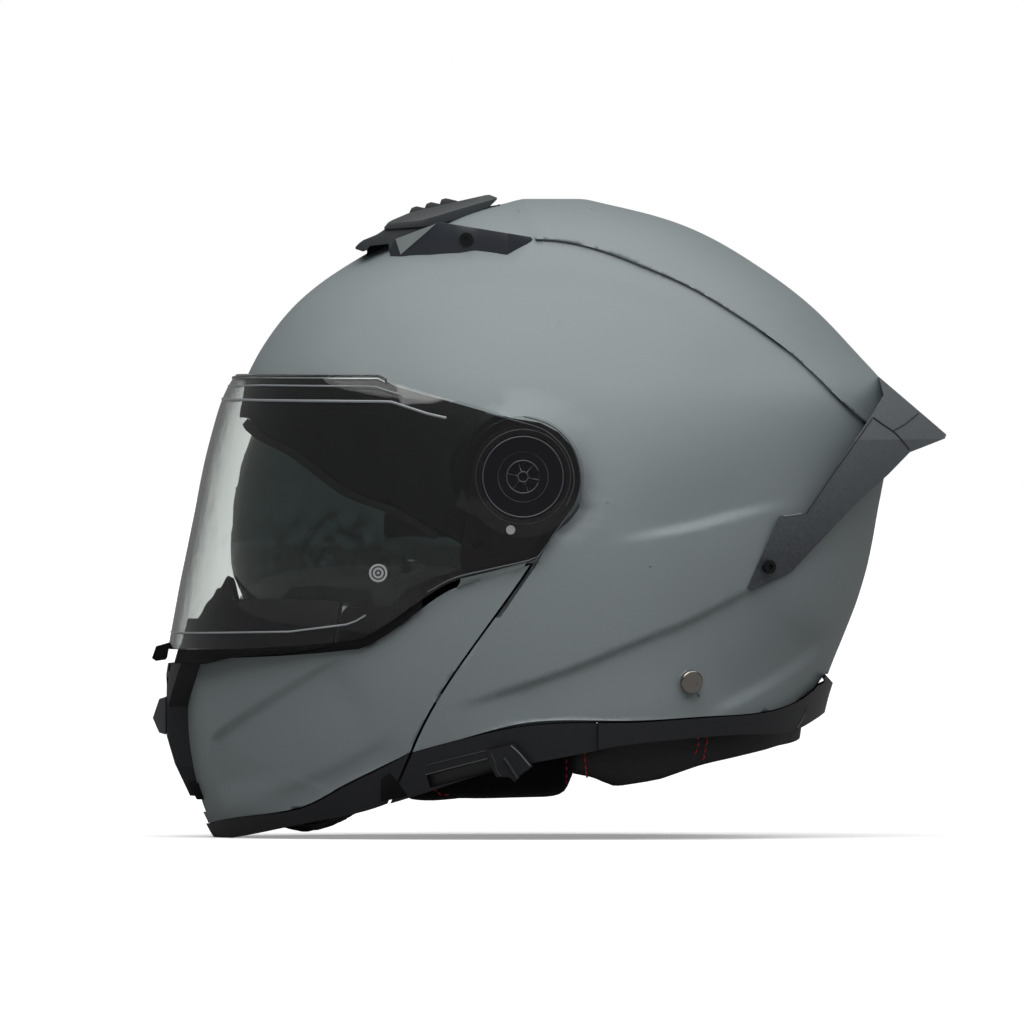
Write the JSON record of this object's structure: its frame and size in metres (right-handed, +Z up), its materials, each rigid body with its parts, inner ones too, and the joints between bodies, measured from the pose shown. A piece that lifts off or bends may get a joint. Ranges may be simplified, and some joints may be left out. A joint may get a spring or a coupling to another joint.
{
  "type": "modular motorcycle helmet",
  "caption": "Flip-up motorcycle helmet: grey shell with rear spoiler and crown vent, chin bar and clear visor on one hub, inner sun visor, pads, trim and chin strap.",
  "frame": {"origin": "middle of the bounding box at its base, under the chin trim", "axes": "+Z up, -X the way the rider looks, -Y the rider's left"},
  "size_m": [0.3493, 0.2624, 0.2825],
  "materials": {
    "shell_paint": "satin clear-coated grey",
    "dark_paint": "gloss dark grey",
    "trim_black": "moulded black",
    "vent_grey": "fine-grained grey",
    "hub_black": "gloss black",
    "rubber": "matt",
    "clear_visor": "clear, hard-coated",
    "smoke_visor": "smoke tinted",
    "foam": "moulded bead foam",
    "lining": "brushed knit",
    "neck_fabric": "grained artificial leather",
    "webbing": "woven webbing",
    "steel": "brushed",
    "chrome": "polished",
    "pin_silver": "silvery",
    "red_plastic": "signal red"
  },
  "bodies": {
    "helmet": {"outer_shell": "shell_paint", "eyeport_gasket": "rubber", "eps_liner": "foam", "crown_liner": "lining", "cheek_pad_left": "lining", "cheek_pad_right": "lining", "neck_roll_left": "neck_fabric", "neck_roll_right": "neck_fabric", "base_trim_left": "trim_black", "base_trim_right": "trim_black", "rear_trim": "trim_black", "slider_track": "trim_black", "top_vent_base": "vent_grey", "top_vent_fin_left": "dark_paint", "top_vent_fin_right": "dark_paint", "fin_screws": "chrome", "spoiler": "dark_paint", "spoiler_screws": "chrome", "pivot_bolts": "steel", "sun_visor_pins": "steel", "striker_pins": "steel", "strap_rivets": "chrome", "strap_left": "webbing", "strap_right": "webbing", "buckle_body": "trim_black", "strap_tongue": "trim_black", "buckle_pin": "steel"},
    "chin_bar": {"chin_bar_shell": "shell_paint", "visor_base_plate_left": "hub_black", "visor_base_plate_right": "hub_black", "hub_cover_left": "hub_black", "hub_cover_right": "hub_black", "chin_trim": "trim_black", "chin_pad": "lining", "chin_curtain": "lining", "chin_vent_housing": "trim_black", "breath_guard": "trim_black", "visor_seal": "rubber", "release_case": "trim_black", "hook_pins": "steel"},
    "visor": {"face_shield": "clear_visor", "pinlock_pins": "pin_silver", "guide_pins": "clear_visor", "shield_tab": "clear_visor"},
    "sun_visor": {"sun_visor_lens": "smoke_visor"},
    "sun_visor_lever": {"sun_visor_lever": "trim_black"},
    "top_vent_slider": {"top_vent_slider": "vent_grey"},
    "chin_vent_shutter": {"chin_vent_shutter": "vent_grey"},
    "release_button": {"release_button": "red_plastic"},
    "latch_hook_left": {"latch_hook_left": "steel"},
    "latch_hook_right": {"latch_hook_right": "steel"},
    "buckle_lever": {"buckle_lever": "red_plastic"}
  },
  "joints": [
    {"name": "chin_bar_hinge", "type": "hinge", "parent": "helmet", "child": "chin_bar", "pos_m": [-0.01152, 0, 0.15905], "axis": [0, 1, 0], "range_deg": [0, 60]},
    {"name": "visor_hinge", "type": "hinge", "parent": "chin_bar", "child": "visor", "pos_m": [-0.01152, 0, 0.15905], "axis": [0, 1, 0], "range_deg": [0, 35]},
    {"name": "sun_visor_hinge", "type": "hinge", "parent": "helmet", "child": "sun_visor", "pos_m": [-0.01954, 0, 0.1308], "axis": [0, 1, 0], "range_deg": [0, 45]},
    {"name": "sun_visor_lever_slide", "type": "slide", "parent": "helmet", "child": "sun_visor_lever", "axis": [-0.9342, 0.2528, -0.2516], "range_m": [0, 0.029]},
    {"name": "top_vent_slide", "type": "slide", "parent": "helmet", "child": "top_vent_slider", "axis": [0.9708, 0, 0.2399], "range_m": [0, 0.008]},
    {"name": "chin_vent_slide", "type": "slide", "parent": "chin_bar", "child": "chin_vent_shutter", "axis": [0, 0, 1], "range_m": [0, 0.0068]},
    {"name": "release_button_press", "type": "slide", "parent": "chin_bar", "child": "release_button", "axis": [-1, 0, 0], "range_m": [0, 0.004], "stiffness_N_per_m": 600},
    {"name": "latch_hook_left_lift", "type": "hinge", "parent": "chin_bar", "child": "latch_hook_left", "pos_m": [-0.06806, -0.1025, 0.06074], "axis": [0, -1, 0], "range_deg": [0, 10]},
    {"name": "latch_hook_right_lift", "type": "hinge", "parent": "chin_bar", "child": "latch_hook_right", "pos_m": [-0.06806, 0.1025, 0.06074], "axis": [0, -1, 0], "range_deg": [0, 10]},
    {"name": "buckle_lever_hinge", "type": "hinge", "parent": "helmet", "child": "buckle_lever", "pos_m": [-0.02863, -0.036, 0.0225], "axis": [-1, 0, 0], "range_deg": [0, 30], "stiffness_Nm_per_rad": 0.05}
  ],
  "couplings": [
    {"joint": "sun_visor_lever_slide", "follows": "sun_visor_hinge", "m_per_rad": 0.03692},
    {"joint": "latch_hook_left_lift", "follows": "release_button_press", "rad_per_m": 43.6},
    {"joint": "latch_hook_right_lift", "follows": "release_button_press", "rad_per_m": 43.6}
  ]
}
